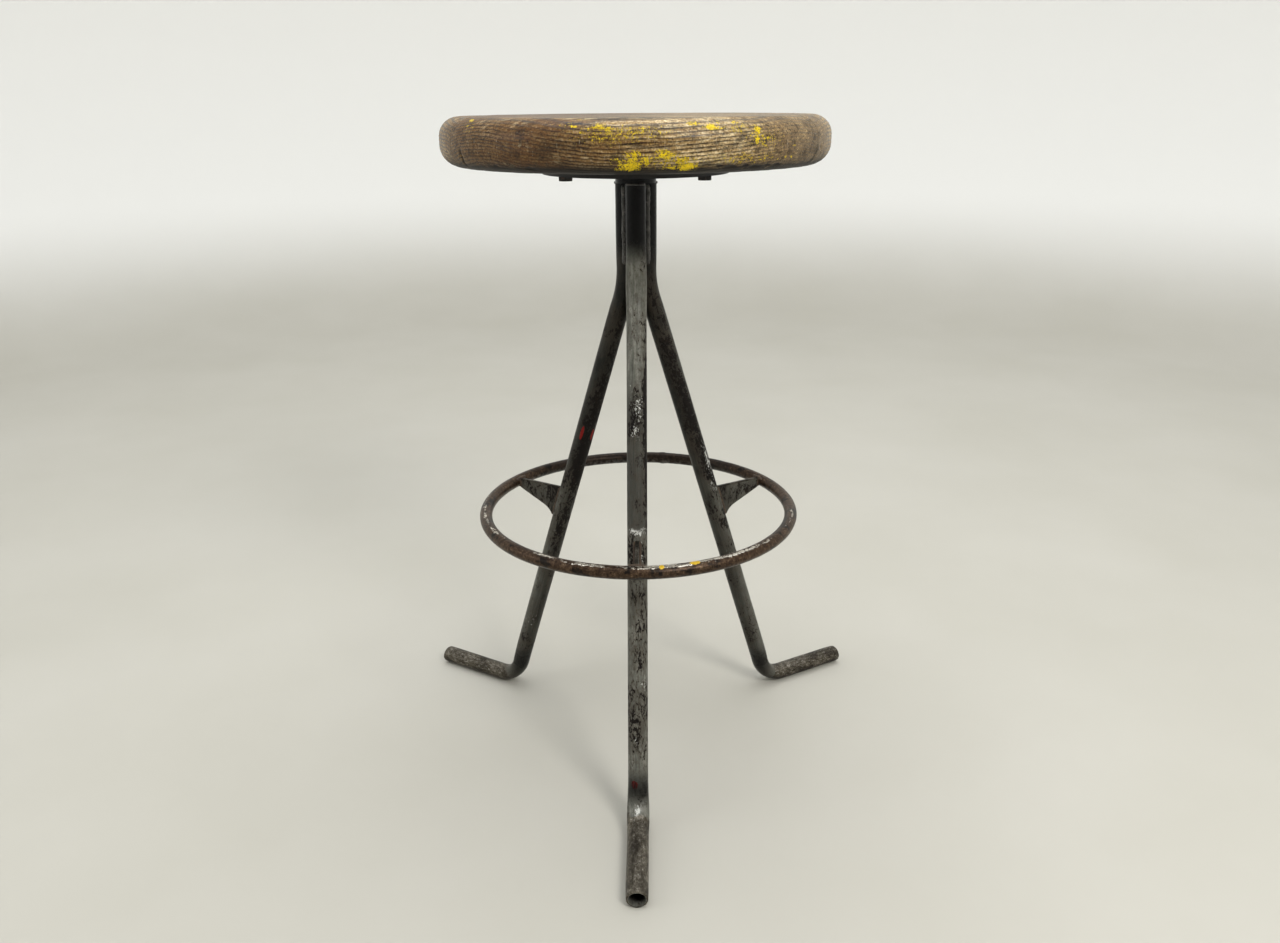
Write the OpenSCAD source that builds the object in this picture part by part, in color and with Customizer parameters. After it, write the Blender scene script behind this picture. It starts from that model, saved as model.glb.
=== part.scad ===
// Adjustable swivel stool: a thick round board seat on a screw spindle, carried by three bent
// pipe legs that meet in a welded column, with a round-bar footrest ring held by gusset plates.
// Millimetres. Origin on the floor on the seat's axis, Z up, one leg towards -Y.
// The seat is shown screwed fully down, which is the rest position.

/* [Seat] */
// Diameter of the seat
seat_d = 390; // [350:5:420]
// Thickness of the seat boards
seat_t = 47; // [42:1:55]
// Radius of the rounded rim, above and below
seat_edge_r = 20; // [8:1:20]
// Height of the seat's top above the floor when screwed down
seat_height = 714; // [700:1:750]

/* [Seat plate and fixings] */
// Diameter of the steel plate under the seat
plate_d = 190; // [176:2:210]
// Thickness of the steel plate
plate_t = 6; // [4:1:8]
// Diameter of the packing disc between the plate and the boards
packing_d = 184; // [170:2:200]
// Thickness of the packing disc
packing_t = 3; // [2:0.5:5]
// Radius of the circle on which the three seat screws sit
screw_circle_r = 79; // [70:1:82]
// Shank diameter of a seat screw
screw_d = 8; // [6:0.5:8]
// Length of a seat screw inside the boards
screw_bite = 30; // [20:1:34]
// Width of a seat screw's head across its flats
screw_head_w = 13; // [11:1:14]
// Height of a seat screw's head
screw_head_h = 5.3; // [4:0.1:6]

/* [Spindle and column] */
// Diameter of the screw spindle
spindle_d = 16; // [14:0.5:16]
// Travel of the seat from screwed down to the stop
lift = 75; // [50:5:80]
// Outside diameter of the nut tube in the middle of the column
nut_tube_d = 22; // [21:0.5:22]
// Length of the nut tube
nut_tube_len = 65.5; // [55:0.5:70]
// Diameter of the ring welded on top of the column
head_ring_d = 42; // [40:1:50]
// Thickness of the ring welded on top of the column
head_ring_t = 5.5; // [4:0.5:8]
// Diameter of the loose thrust washer under the seat boss
thrust_d = 34; // [31:1:38]
// Thickness of the loose thrust washer
thrust_t = 2; // [1.5:0.5:3]
// Diameter of the boss welded under the seat plate
boss_d = 30; // [26:1:34]
// Thickness of the boss welded under the seat plate
boss_t = 2.3; // [2:0.1:4]

/* [Legs] */
// Outside diameter of a leg pipe
pipe_d = 21.3; // [20.5:0.1:22]
// Wall thickness of a leg pipe
pipe_wall = 2.65; // [2:0.05:3.2]
// Height at which the column's line meets the sloping leg's line
leg_bend_z = 544; // [535:1:555]
// Centreline radius of the bend below the column
leg_bend_r = 130; // [110:5:150]
// Centreline radius of the bend at the foot
foot_bend_r = 38; // [34:1:44]
// Distance from the axis at which the sloping leg's line meets the foot's line
foot_r = 190; // [180:1:200]
// Length of the flat foot beyond that point
foot_len = 118.4; // [100:0.1:130]

/* [Footrest] */
// Radius of the footrest ring, to the middle of its bar
ring_r = 172.5; // [165:0.5:180]
// Diameter of the footrest's round bar
ring_bar_d = 14; // [10:1:16]
// Height of the footrest ring above the floor
ring_z = 290; // [275:1:305]
// Thickness of a gusset plate
gusset_t = 4; // [3:0.5:6]
// How far a gusset reaches down its leg from the middle of the ring
gusset_drop = 33; // [22:1:40]

/* [Hidden] */
$fn = 96;

// clearances, as a radius or as a gap
run_fit = 0.05;
close_fit = 0.02;
seat_gap = 0.2;
part_gap = 0.3;
leg_gap = 0.35;
lap = 0.4;
bend_thin = 0.1;

// seat stack, from the top down
seat_r = seat_d / 2;
board_w = seat_d / 4;
board_z = seat_height - seat_t;
packing_z = board_z - packing_t;
plate_z = packing_z - plate_t;
boss_z = plate_z - boss_t;
head_z = boss_z - seat_gap - thrust_t;
column_z = head_z - head_ring_t;
nut_z = head_z - nut_tube_len;

// spindle end and its stop
stop_washer_d = 20;
stop_washer_t = 3;
stop_z = nut_z - part_gap - lift - stop_washer_t;
pin_d = 4;
pin_wall = 0.8;
pin_len = 20;
pin_z = stop_z - part_gap - pin_d / 2;
spindle_z = pin_z - 7;
spindle_top = packing_z;
notch_r = nut_tube_d / 2 + close_fit;

// legs, in the plane that holds the axis and the leg
pipe_r = pipe_d / 2;
bore_r = pipe_r - pipe_wall;
column_r = (pipe_d + leg_gap) / sqrt(3);
slope = (foot_r - column_r) / (leg_bend_z - pipe_r);
slant = atan(slope);
upper_cut = leg_bend_r * tan(slant / 2);
foot_cut = foot_bend_r * tan((90 - slant) / 2);
slope_len = (leg_bend_z - pipe_r) / cos(slant) - upper_cut - foot_cut;
front = -90;
rear_right = 30;
rear_left = 150;

// colours for a quick look
wood = [0.36, 0.28, 0.2];
paint = [0.4, 0.41, 0.42];
steel = [0.45, 0.4, 0.36];
dark = [0.16, 0.15, 0.15];
bright = [0.72, 0.68, 0.6];

// distance of a leg's centreline from the axis at height z
function leg_x(z) = column_r + (leg_bend_z - z) * slope;

// a round bar of radius r along the leg's line; over lengthens its two open ends. The straights
// run a little way into the bends, which are drawn a hair thinner.
module leg_line(r, over = 0) {
    translate([column_r, 0, leg_bend_z + upper_cut - lap])
        cylinder(r = r, h = column_z - leg_bend_z - upper_cut + lap + over);
    translate([column_r + leg_bend_r, 0, leg_bend_z + upper_cut])
        rotate([90, 0, 0])
        rotate([0, 0, 180])
        rotate_extrude(angle = slant)
        translate([leg_bend_r, 0])
        circle(r = r - bend_thin);
    leg_slope(r);
    translate([foot_r + foot_cut, 0, pipe_r + foot_bend_r])
        rotate([90, 0, 0])
        rotate([0, 0, 180 + slant])
        rotate_extrude(angle = 90 - slant)
        translate([foot_bend_r, 0])
        circle(r = r - bend_thin);
    translate([foot_r + foot_cut - lap, 0, pipe_r])
        rotate([0, 90, 0])
        cylinder(r = r, h = foot_len - foot_cut + lap + over);
}

// the straight sloping part of a leg
module leg_slope(r) {
    translate([column_r, 0, leg_bend_z])
        rotate([0, 180 - slant, 0])
        translate([0, 0, upper_cut - lap])
        cylinder(r = r, h = slope_len + 2 * lap);
}

module leg(turn) {
    color(paint)
    rotate([0, 0, turn])
    difference() {
        leg_line(pipe_r);
        leg_line(bore_r, 1);
        translate([0, 0, spindle_z - 5])
            cylinder(r = notch_r, h = column_z - spindle_z + 6);
    }
}

module ring_bar(r) {
    translate([0, 0, ring_z])
        rotate_extrude()
        translate([ring_r, 0])
        circle(r = r);
}

module gusset(turn) {
    end_x = ring_r - ring_bar_d / 4;
    end_h = 0.42 * ring_bar_d;
    top_z = ring_z + 5;
    low_z = ring_z - gusset_drop;
    color(steel)
    difference() {
        rotate([0, 0, turn])
        difference() {
            rotate([90, 0, 0])
                linear_extrude(height = gusset_t, center = true)
                polygon([
                    [leg_x(top_z), top_z],
                    [end_x, ring_z + end_h],
                    [end_x, ring_z - end_h],
                    [leg_x(low_z) + pipe_r + 6, low_z + 4],
                    [leg_x(low_z), low_z],
                ]);
            leg_slope(pipe_r + close_fit);
        }
        ring_bar(ring_bar_d / 2 + close_fit);
    }
}

// the whole seat disc with its rounded rim
module seat_disc() {
    r = seat_edge_r;
    translate([0, 0, board_z])
        rotate_extrude()
        union() {
            square([seat_r - r, seat_t]);
            translate([0, r])
                square([seat_r, seat_t - 2 * r]);
            translate([seat_r - r, r])
                intersection() {
                    circle(r = r);
                    translate([0, -r])
                        square([r, r]);
                }
            translate([seat_r - r, seat_t - r])
                intersection() {
                    circle(r = r);
                    square([r, r]);
                }
        }
}

// one of the four boards, counted from the front
module seat_board(i) {
    color(wood)
    difference() {
        intersection() {
            seat_disc();
            translate([-seat_r - 1, -seat_r + i * board_w, board_z - 1])
                cube([seat_d + 2, board_w, seat_t + 2]);
        }
        if (i == 1) {
            screw_hole(front + 60);
            screw_hole(front - 60);
        }
        if (i == 2) {
            screw_hole(front + 180);
        }
    }
}

module screw_hole(turn) {
    rotate([0, 0, turn])
        translate([screw_circle_r, 0, board_z - 1])
        cylinder(r = screw_d / 2 + close_fit, h = screw_bite + 3);
}

module seat_board_front() {
    seat_board(0);
}

module seat_board_mid_front() {
    seat_board(1);
}

module seat_board_mid_rear() {
    seat_board(2);
}

module seat_board_rear() {
    seat_board(3);
}

// three screw holes through the plate and the packing
module plate_holes(z, h) {
    for (turn = [front - 60, front + 60, front + 180])
        rotate([0, 0, turn])
            translate([screw_circle_r, 0, z - 1])
            cylinder(r = screw_d / 2 + 0.5, h = h + 2);
}

module seat_packing() {
    color(dark)
    difference() {
        translate([0, 0, packing_z])
            cylinder(d = packing_d, h = packing_t);
        plate_holes(packing_z, packing_t);
    }
}

module seat_plate() {
    color(dark)
    difference() {
        translate([0, 0, plate_z])
            cylinder(d = plate_d, h = plate_t);
        plate_holes(plate_z, plate_t);
        translate([0, 0, plate_z - 1])
            cylinder(r = spindle_d / 2 + close_fit, h = plate_t + 2);
    }
}

module seat_screw(turn) {
    tip = screw_d;
    color(steel)
    rotate([0, 0, turn])
    translate([screw_circle_r, 0, 0]) {
        translate([0, 0, plate_z - screw_head_h])
            intersection() {
                cylinder(d = screw_head_w / cos(30), h = screw_head_h, $fn = 6);
                translate([0, 0, -screw_head_w * 0.08])
                    cylinder(
                        r1 = screw_head_w * 0.42,
                        r2 = screw_head_w * 0.42 + screw_head_h + screw_head_w * 0.08,
                        h = screw_head_h + screw_head_w * 0.08
                    );
            }
        translate([0, 0, plate_z - 0.5])
            cylinder(d = screw_d, h = board_z - plate_z + screw_bite - tip + 0.5);
        translate([0, 0, board_z + screw_bite - tip])
            cylinder(d1 = screw_d, d2 = 1, h = tip);
    }
}

module seat_screw_left() {
    seat_screw(front - 60);
}

module seat_screw_right() {
    seat_screw(front + 60);
}

module seat_screw_rear() {
    seat_screw(front + 180);
}

module spindle() {
    color(bright)
    difference() {
        union() {
            translate([0, 0, spindle_z + 2])
                cylinder(d = spindle_d, h = spindle_top - spindle_z - 2);
            translate([0, 0, spindle_z])
                cylinder(d1 = spindle_d - 4, d2 = spindle_d, h = 2);
        }
        translate([0, 0, pin_z])
            rotate([0, 90, 0])
            cylinder(d = pin_d + 2 * close_fit, h = spindle_d + 2, center = true);
    }
}

module spindle_boss() {
    color(dark)
    difference() {
        translate([0, 0, boss_z])
            cylinder(d = boss_d, h = boss_t);
        translate([0, 0, boss_z - 1])
            cylinder(r = spindle_d / 2 + close_fit, h = boss_t + 2);
    }
}

// a rolled pin with an open slot along its top
module spring_pin() {
    color(bright)
    difference() {
        translate([0, 0, pin_z])
            rotate([0, 90, 0])
            cylinder(d = pin_d, h = pin_len, center = true);
        translate([0, 0, pin_z])
            rotate([0, 90, 0])
            cylinder(d = pin_d - 2 * pin_wall, h = pin_len + 2, center = true);
        translate([-pin_len / 2 - 1, -0.4, pin_z])
            cube([pin_len + 2, 0.8, pin_d]);
    }
}

module stop_washer() {
    color(bright)
    difference() {
        translate([0, 0, stop_z])
            cylinder(d = stop_washer_d, h = stop_washer_t);
        translate([0, 0, stop_z - 1])
            cylinder(r = spindle_d / 2 + run_fit, h = stop_washer_t + 2);
    }
}

module thrust_washer() {
    color(bright)
    difference() {
        translate([0, 0, head_z])
            cylinder(d = thrust_d, h = thrust_t);
        translate([0, 0, head_z - 1])
            cylinder(r = spindle_d / 2 + part_gap, h = thrust_t + 2);
    }
}

module column_head_ring() {
    color(paint)
    difference() {
        translate([0, 0, column_z])
            cylinder(d = head_ring_d, h = head_ring_t);
        translate([0, 0, column_z - 1])
            cylinder(r = notch_r, h = head_ring_t + 2);
    }
}

module spindle_nut_tube() {
    color(steel)
    difference() {
        translate([0, 0, nut_z])
            cylinder(d = nut_tube_d, h = nut_tube_len);
        translate([0, 0, nut_z - 1])
            cylinder(r = spindle_d / 2 + run_fit, h = nut_tube_len + 2);
    }
}

module leg_front() {
    leg(front);
}

module leg_rear_right() {
    leg(rear_right);
}

module leg_rear_left() {
    leg(rear_left);
}

module footrest_ring() {
    color(steel)
        ring_bar(ring_bar_d / 2);
}

module gusset_front() {
    gusset(front);
}

module gusset_rear_right() {
    gusset(rear_right);
}

module gusset_rear_left() {
    gusset(rear_left);
}

seat_board_front();
seat_board_mid_front();
seat_board_mid_rear();
seat_board_rear();
seat_packing();
seat_plate();
seat_screw_left();
seat_screw_right();
seat_screw_rear();
spindle();
spindle_boss();
spring_pin();
stop_washer();
thrust_washer();
column_head_ring();
spindle_nut_tube();
leg_front();
leg_rear_right();
leg_rear_left();
footrest_ring();
gusset_front();
gusset_rear_right();
gusset_rear_left();
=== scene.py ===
import math

import bmesh
import bpy
import numpy as np
from mathutils import Matrix, Vector


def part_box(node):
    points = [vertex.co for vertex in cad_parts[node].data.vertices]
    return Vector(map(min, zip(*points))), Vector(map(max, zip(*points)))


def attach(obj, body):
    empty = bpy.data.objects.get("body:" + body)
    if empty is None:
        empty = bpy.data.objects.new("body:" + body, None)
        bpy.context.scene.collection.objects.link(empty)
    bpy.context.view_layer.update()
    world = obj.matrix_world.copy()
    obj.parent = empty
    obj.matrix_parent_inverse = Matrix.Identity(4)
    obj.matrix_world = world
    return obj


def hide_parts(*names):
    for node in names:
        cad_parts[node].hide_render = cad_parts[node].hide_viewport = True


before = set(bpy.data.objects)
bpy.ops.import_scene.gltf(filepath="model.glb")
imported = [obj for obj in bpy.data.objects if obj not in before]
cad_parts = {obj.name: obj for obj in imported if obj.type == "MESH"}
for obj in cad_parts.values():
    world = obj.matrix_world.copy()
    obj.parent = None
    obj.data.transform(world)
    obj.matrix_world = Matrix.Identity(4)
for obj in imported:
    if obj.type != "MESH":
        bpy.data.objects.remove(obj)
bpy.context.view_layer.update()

MM = 0.001
TAU = 2 * math.pi
scene = bpy.context.scene

# ---- camera

CAM_AT = (0.0152, -1.0736, 0.7252)
CAM_LENS = 28.44
CAM_PITCH, CAM_YAW, CAM_ROLL = (math.radians(a) for a in (20.061, -0.693, -0.425))


def make_camera():
    data = bpy.data.cameras.new("camera")
    data.lens, data.sensor_width = CAM_LENS, 36.0
    data.clip_start, data.clip_end = 0.05, 60.0
    cam = bpy.data.objects.new("camera", data)
    scene.collection.objects.link(cam)
    cp, sp = math.cos(CAM_PITCH), math.sin(CAM_PITCH)
    ahead = Vector((math.sin(CAM_YAW) * cp, math.cos(CAM_YAW) * cp, -sp))
    right = Vector((math.cos(CAM_YAW), -math.sin(CAM_YAW), 0))
    up = right.cross(ahead)
    c, s = math.cos(CAM_ROLL), math.sin(CAM_ROLL)
    right, up = c * right + s * up, c * up - s * right
    turn = Matrix((right, up, -ahead)).transposed()
    cam.matrix_world = Matrix.Translation(CAM_AT) @ turn.to_4x4()
    scene.camera = cam


make_camera()
scene.view_settings.view_transform = "Standard"

# ---- numbers from the frame, mm


def span(node, axis):
    lo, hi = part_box(node)
    return lo[axis] / MM, hi[axis] / MM


SEAT_LOW, SEAT_TOP = span("seat_board_front", 2)
SEAT_R = -span("seat_board_front", 1)[0]
EDGE_R = 20.0
PLATE_LOW = span("seat_plate", 2)[0]
PIPE_R, WALL = 10.65, 2.65
HEAD_LOW = span("column_head_ring", 2)[0]
COLUMN_R = 12.5  # from the stool's axis to each pipe's, in the column
SLANT = math.atan(0.3328)
BEND_R, BEND_Z = 130.0, 544.0  # upper bend, and where its two straight lines would meet
FOOT_BEND_R, FOOT_R = 38.0, 190.0
TOE_R = -span("leg_front", 1)[0]
BAR_R = (span("footrest_ring", 2)[1] - span("footrest_ring", 2)[0]) / 2
RING_R = span("footrest_ring", 0)[1] - BAR_R
RING_Z = sum(span("footrest_ring", 2)) / 2
NOTCH_R, NOTCH_LOW = 11.02, 470.0  # room for the nut tube between the pipes
GUSSET_HALF, GUSSET_LOW = 2.0, 257.0
BEAD_PITCH = 2.6  # from one ripple of a weld to the next
THREAD_PITCH, THREAD_CREST, THREAD_ROOT = 5.0, 7.95, 6.3
FLOOR_R, COVE_R, WALL_TOP = 2.4, 1.2, 3.4  # metres
LEGS = {"front": -90, "rear_right": 30, "rear_left": 150}

# ---- noise, fields and mesh helpers


def lattice(ix, iy, iz, seed):
    n = (ix * 73856093) ^ (iy * 19349663) ^ (iz * 83492791) ^ (seed * 40503 + 977)
    n = ((n ^ (n >> 13)) * 1274126177) & 0xFFFFFFFF
    n = ((n ^ (n >> 15)) * 2246822519) & 0xFFFFFFFF
    return ((n ^ (n >> 16)) & 0xFFFFFF) / 0xFFFFFF


def vnoise(p, seed):
    """Smooth value noise of points p, from -1 to 1."""
    p = np.asarray(p, float)
    i = np.floor(p).astype(np.int64)
    f = p - i
    f = f * f * (3 - 2 * f)
    total = np.zeros(len(p))
    for corner in np.ndindex(2, 2, 2):
        w = [f[:, k] if corner[k] else 1 - f[:, k] for k in range(3)]
        total += w[0] * w[1] * w[2] * lattice(*(i + corner).T, seed)
    return total * 2 - 1


def fbm(p, seed, octaves):
    total, amp, size = np.zeros(len(p)), 1.0, 0.0
    p = np.asarray(p, float)
    for k in range(octaves):
        total += amp * vnoise(p, seed + k)
        size += amp
        amp *= 0.5
        p = p * 2.03 + 11.7
    return total / size


def smooth(x, lo, hi):
    t = np.clip((np.asarray(x, float) - lo) / (hi - lo), 0, 1)
    return t * t * (3 - 2 * t)


def blobs(u, v, spots):
    """The strongest of soft spots (u, v, half width, half height, strength) at each point."""
    best = np.zeros(len(u))
    for cu, cv, wu, wv, a in spots:
        d = ((u - cu) / wu) ** 2 + ((v - cv) / wv) ** 2
        best = np.maximum(best, a * np.exp(-0.7 * d))
    return best


def wrap180(degrees):
    return (degrees + 180) % 360 - 180


def add_fields(mesh, **fields):
    for name, values in fields.items():
        values = np.asarray(values, np.float32)
        vector = values.ndim == 2
        a = mesh.attributes.new(name, "FLOAT_VECTOR" if vector else "FLOAT", "POINT")
        a.data.foreach_set("vector" if vector else "value", values.ravel())


def coords(mesh):
    co = np.zeros(len(mesh.vertices) * 3, np.float32)
    mesh.vertices.foreach_get("co", co)
    return co.reshape(-1, 3).astype(float) / MM


def set_coords(mesh, co):
    mesh.vertices.foreach_set("co", (co * MM).astype(np.float32).ravel())
    mesh.update()


def make_mesh(name, verts, faces):
    mesh = bpy.data.meshes.new(name)
    mesh.from_pydata((np.asarray(verts, float) * MM).tolist(), [], faces)
    mesh.update()
    return mesh


def outward(mesh):
    bm = bmesh.new()
    bm.from_mesh(mesh)
    bmesh.ops.recalc_face_normals(bm, faces=bm.faces)
    bm.to_mesh(mesh)
    bm.free()


def closed_mesh(name, verts, faces):
    mesh = make_mesh(name, verts, faces)
    outward(mesh)
    return mesh


def make_piece(name, mesh, body, material, stands_for=(), sharp=40):
    mesh.shade_smooth()
    mesh.set_sharp_from_angle(angle=math.radians(sharp))
    mesh.materials.clear()
    mesh.materials.append(material)
    o = bpy.data.objects.new(name, mesh)
    scene.collection.objects.link(o)
    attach(o, body)
    if stands_for:
        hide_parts(*stands_for)


def grid_faces(rows, cols, offset=0, flip=False):
    """Quads between rows of cols points that close round."""
    faces = []
    for i in range(rows - 1):
        a, b = offset + i * cols, offset + (i + 1) * cols
        for j in range(cols):
            k = (j + 1) % cols
            f = (a + j, a + k, b + k, b + j)
            faces.append(f[::-1] if flip else f)
    return faces


def turned(co, degrees):
    c, s = math.cos(math.radians(degrees)), math.sin(math.radians(degrees))
    co = np.asarray(co, float)
    return np.stack([c * co[:, 0] - s * co[:, 1], s * co[:, 0] + c * co[:, 1], co[:, 2]], 1)


# ---- materials


def srgb(r, g, b):
    def lin(c):
        c /= 255
        return c / 12.92 if c <= 0.04045 else ((c + 0.055) / 1.055) ** 2.4

    return (lin(r), lin(g), lin(b), 1.0)


class Look:
    """A node material on the Principled shader, made with short calls."""

    def __init__(self, name):
        self.material = bpy.data.materials.new(name)
        self.material.use_nodes = True
        self.tree = self.material.node_tree
        self.tree.nodes.clear()
        out = self.tree.nodes.new("ShaderNodeOutputMaterial")
        self.shader = self.tree.nodes.new("ShaderNodeBsdfPrincipled")
        self.tree.links.new(self.shader.outputs[0], out.inputs[0])

    def put(self, socket, value):
        if isinstance(value, bpy.types.NodeSocket):
            self.tree.links.new(value, socket)
        else:
            socket.default_value = value

    def node(self, kind, inputs=None, **props):
        n = self.tree.nodes.new("ShaderNode" + kind)
        for k, v in props.items():
            setattr(n, k, v)
        for k, v in (inputs or {}).items():
            self.put(n.inputs[k], v)
        return n

    def set(self, **values):
        for k, v in values.items():
            self.put(self.shader.inputs[k.replace("_", " ")], v)

    def object(self):
        return self.node("TexCoord").outputs["Object"]

    def field(self, name):
        return self.node("Attribute", attribute_name=name).outputs["Fac"]

    def vector_field(self, name):
        return self.node("Attribute", attribute_name=name).outputs["Vector"]

    def scaled(self, vec, factors):
        return self.node("VectorMath", {0: vec, 1: factors}, operation="MULTIPLY").outputs[0]

    def noise(self, vec, scale, detail=4.0, rough=0.55, warp=0.0):
        values = {"Vector": vec, "Scale": scale, "Detail": detail, "Roughness": rough, "Distortion": warp}
        return self.node("TexNoise", values).outputs[0]

    def math(self, op, a, b=0.0, c=0.0):
        return self.node("Math", {0: a, 1: b, 2: c}, operation=op).outputs[0]

    def add(self, a, b):
        return self.math("ADD", a, b)

    def mul(self, a, b):
        return self.math("MULTIPLY", a, b)

    def sum(self, *terms):
        """The weighted sum of (value, weight) pairs."""
        part = self.mul(*terms[0])
        return self.add(part, self.sum(*terms[1:])) if terms[1:] else part

    def step(self, value, lo, hi, to_lo=0.0, to_hi=1.0):
        values = {"Value": value, "From Min": lo, "From Max": hi, "To Min": to_lo, "To Max": to_hi}
        return self.node("MapRange", values, interpolation_type="SMOOTHSTEP").outputs[0]

    def ramp(self, fac, *stops):
        n = self.node("ValToRGB", {0: fac})
        e = n.color_ramp.elements
        while len(e) < len(stops):
            e.new(0.5)
        for el, (pos, colour) in zip(e, stops):
            el.position = pos
            el.color = srgb(*colour)
        return n.outputs[0]

    def mix(self, fac, a, b):
        n = self.node("Mix", data_type="RGBA")
        self.put(n.inputs[0], fac)
        self.put(n.inputs[6], a)
        self.put(n.inputs[7], b)
        return n.outputs[2]

    def lerp(self, fac, a, b):
        n = self.node("Mix", data_type="FLOAT")
        self.put(n.inputs[0], fac)
        self.put(n.inputs[2], a)
        self.put(n.inputs[3], b)
        return n.outputs[0]

    def bump(self, height, distance, strength):
        values = {"Height": height, "Distance": distance, "Strength": strength}
        return self.node("Bump", values).outputs[0]


def painted_look(name, local=None, black=0.0):
    """Old satin grey paint, chipped to dark steel. Fields: wear, dark, bare, soot, scuff, red. The dark and
    black masks paint shade, along with some darker and black paint, and the scuff mask adds one painted
    highlight besides scuffs.
    """
    k = Look(name)
    at = k.vector_field(local) if local else k.object()
    field = k.field if local else (lambda f: 0.0)
    long = k.scaled(at, (1.0, 1.0, 0.5))
    big = k.noise(at, 22, 3, 0.5)
    mid = k.noise(long, 80, 5, 0.6)
    fine = k.noise(long, 330, 8, 0.72, 0.4)
    grit = k.noise(at, 1100, 4, 0.65)
    streak = k.noise(k.scaled(at, (520, 520, 30)), 1.0, 6, 0.62)
    wear = field("wear")
    # chips: ragged spots, more of them where wear is high
    level = k.add(k.sum((fine, 0.8), (mid, 0.32)), k.mul(big, 0.14))
    level = k.add(level, k.mul(wear, 0.26))
    chip = k.step(level, 0.745, 0.768)
    dots = k.noise(k.scaled(at, (1.0, 1.0, 0.55)), 640, 3, 0.55, 0.3)
    dots = k.mul(k.step(dots, 0.60, 0.635), k.step(k.add(mid, k.mul(wear, 0.3)), 0.52, 0.66))
    chip = k.math("MAXIMUM", chip, dots)
    # paint: satin grey, dirty in broad patches, drawn along the pipe
    paint = k.ramp(
        k.sum((mid, 0.45), (streak, 0.35), (grit, 0.2)),
        (0.34, (50, 50, 45)), (0.50, (110, 110, 102)), (0.66, (176, 175, 165)),
    )
    # painted shade: dark mixes the paint towards near black on the legs' inner sides and all over the rear
    # legs and gussets, along with some darker paint
    dark = k.step(k.add(field("dark"), k.mul(k.math("SUBTRACT", mid, 0.5), 0.9)), 0.0, 1.0)
    paint = k.mix(dark, paint, srgb(24, 25, 22))
    dirt = k.step(k.sum((big, 0.6), (streak, 0.4)), 0.44, 0.64)
    paint = k.mix(k.mul(dirt, 0.5), paint, srgb(62, 56, 48))
    rubbed = k.step(k.add(level, k.mul(grit, 0.12)), 0.66, 0.84)
    paint = k.mix(k.mul(rubbed, k.lerp(dark, 0.7, 0.3)), paint, srgb(66, 57, 46))
    under = k.ramp(
        k.sum((grit, 0.6), (fine, 0.4)),
        (0.34, (6, 5, 5)), (0.54, (20, 16, 14)), (0.66, (52, 40, 31)), (0.76, (120, 106, 90)),
    )
    colour = k.mix(chip, paint, under)
    # scuffs to bright primer, one of them a painted highlight on top of the front foot's bend, and red
    # flecks of an older coat
    jag = k.add(k.mul(k.noise(k.scaled(at, (1, 1, 0.6)), 480, 7, 0.74, 0.6), 0.9), k.mul(streak, 0.15))
    scuff = k.step(k.add(k.mul(field("scuff"), 0.2), jag), 0.715, 0.75)
    scuff = k.mul(scuff, k.step(field("scuff"), 0.1, 0.4))
    colour = k.mix(scuff, colour, srgb(206, 206, 200))
    red = k.step(k.add(field("red"), k.mul(grit, 0.5)), 0.75, 0.85)
    colour = k.mix(red, colour, srgb(128, 24, 20))
    # bare worn steel of the feet
    steel = k.ramp(
        k.sum((grit, 0.45), (fine, 0.55)),
        (0.37, (30, 25, 19)), (0.48, (82, 76, 66)), (0.58, (130, 124, 112)), (0.67, (246, 243, 234)),
    )
    steel = k.mix(k.step(mid, 0.44, 0.64, 0.0, 0.72), steel, srgb(40, 34, 27))
    # the same painted shade darkens the bare steel of the feet
    steel = k.mix(dark, steel, srgb(26, 22, 17))
    bare = k.step(k.add(field("bare"), k.mul(k.add(fine, mid), 0.35)), 0.72, 0.90)
    colour = k.mix(bare, colour, steel)
    # painted shade: this mask makes the column's top under the seat, the bores of the pipes and the head
    # ring near black; at the column's top it is partly black paint
    soot = k.math("MAXIMUM", field("soot"), black)
    soot = k.step(k.add(soot, k.mul(k.add(streak, mid), 0.3)), 0.42, 1.12)
    tar = k.ramp(grit, (0.50, (1, 1, 1)), (0.75, (26, 25, 23)))
    colour = k.mix(soot, colour, tar)
    rough = k.lerp(chip, k.lerp(dirt, 0.34, 0.48), 0.6)
    rough = k.lerp(bare, rough, k.lerp(grit, 0.34, 0.56))
    rough = k.lerp(soot, rough, k.lerp(mid, 0.14, 0.34))
    metal = k.math("MAXIMUM", k.mul(chip, 0.2), k.mul(bare, 0.6))
    height = k.sum((chip, -1.0), (mid, 0.7), (grit, 0.18))
    normal = k.bump(height, 0.00022, 0.8)
    k.set(Base_Color=colour, Roughness=rough, Metallic=metal, Normal=normal, Specular_IOR_Level=0.16)
    return k.material


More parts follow.
